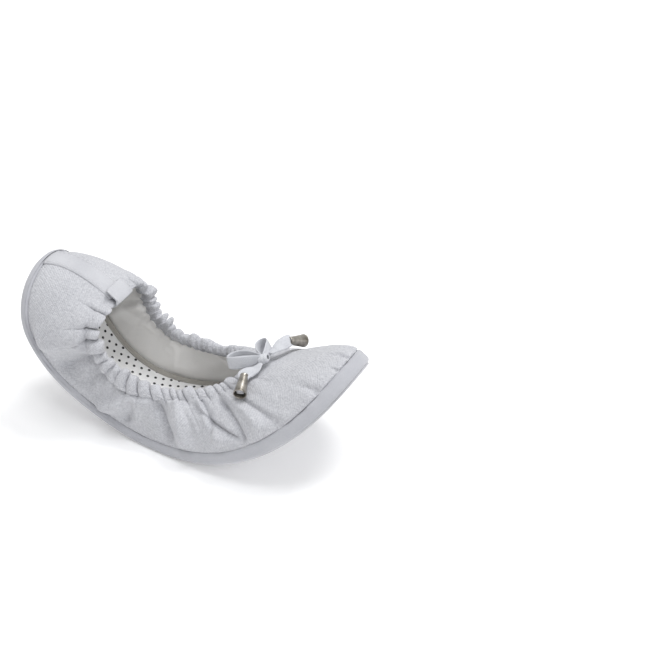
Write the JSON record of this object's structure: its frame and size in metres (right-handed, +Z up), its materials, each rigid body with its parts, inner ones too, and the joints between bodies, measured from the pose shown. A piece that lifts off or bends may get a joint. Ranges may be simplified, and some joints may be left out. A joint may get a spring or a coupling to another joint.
{
  "type": "foldable ballet slipper",
  "caption": "Soft foldable ballet slipper for the right foot, curled up by the elastic in its gathered topline, with a ribbon bow and two metal tips.",
  "frame": {"origin": "on the ground under the middle of the slipper's bounding box, curled up as it rests", "axes": "+X towards the toe, +Y towards the inner side of the foot, +Z up"},
  "size_m": [0.1752, 0.0784, 0.0771],
  "materials": {
    "outsole": "matte",
    "sole_base": "matte",
    "foam": "matte",
    "insole_cloth": "matte",
    "piping": "matte",
    "rim_cloth": "matte",
    "thread": "matte",
    "canvas": "matte",
    "lining": "matte",
    "elastic": "matte",
    "tape": "matte",
    "ribbon": "matte",
    "metal": "satin"
  },
  "bodies": {
    "fore_part": {"outsole_front": "outsole", "sole_base_front": "sole_base", "insole_foam_front": "foam", "insole_sock_front": "insole_cloth", "insole_piping_front": "piping", "sole_rim_front": "rim_cloth", "sole_stitching_front": "thread", "upper_front": "canvas", "lining_front": "lining", "topline_casing_front": "canvas", "topline_elastic_front": "elastic", "casing_stitching_front": "thread", "bow_knot": "ribbon", "bow_loop_near": "ribbon", "bow_loop_far": "ribbon"},
    "heel_part": {"outsole_rear": "outsole", "sole_base_rear": "sole_base", "insole_foam_rear": "foam", "insole_sock_rear": "insole_cloth", "insole_piping_rear": "piping", "sole_rim_rear": "rim_cloth", "sole_stitching_rear": "thread", "lining_rear": "lining", "topline_casing_rear": "canvas", "topline_elastic_rear": "elastic", "casing_stitching_rear": "thread", "quarter_near": "canvas", "quarter_far": "canvas", "heel_counter": "sole_base", "back_strip": "tape", "heel_tab": "tape", "back_strip_stitching": "thread"},
    "tail_near": {"bow_tail_near": "ribbon", "cord_tip_near": "metal"},
    "tail_far": {"bow_tail_far": "ribbon", "cord_tip_far": "metal"}
  },
  "joints": [
    {"name": "sole_fold", "type": "hinge", "parent": "fore_part", "child": "heel_part", "pos_m": [-0.01265, 0, 0], "axis": [0, 1, 0], "range_deg": [-45, 0], "stiffness_Nm_per_rad": 0.3, "springref_deg": 17.19},
    {"name": "tail_near_lift", "type": "hinge", "parent": "fore_part", "child": "tail_near", "pos_m": [0.0367, -0.00572, 0.04785], "axis": [-0.8709, 0.1967, -0.4504], "range_deg": [0, 45]},
    {"name": "tail_far_lift", "type": "hinge", "parent": "fore_part", "child": "tail_far", "pos_m": [0.03836, 0.00407, 0.04983], "axis": [0.8669, -0.2201, 0.4472], "range_deg": [0, 45]}
  ]
}
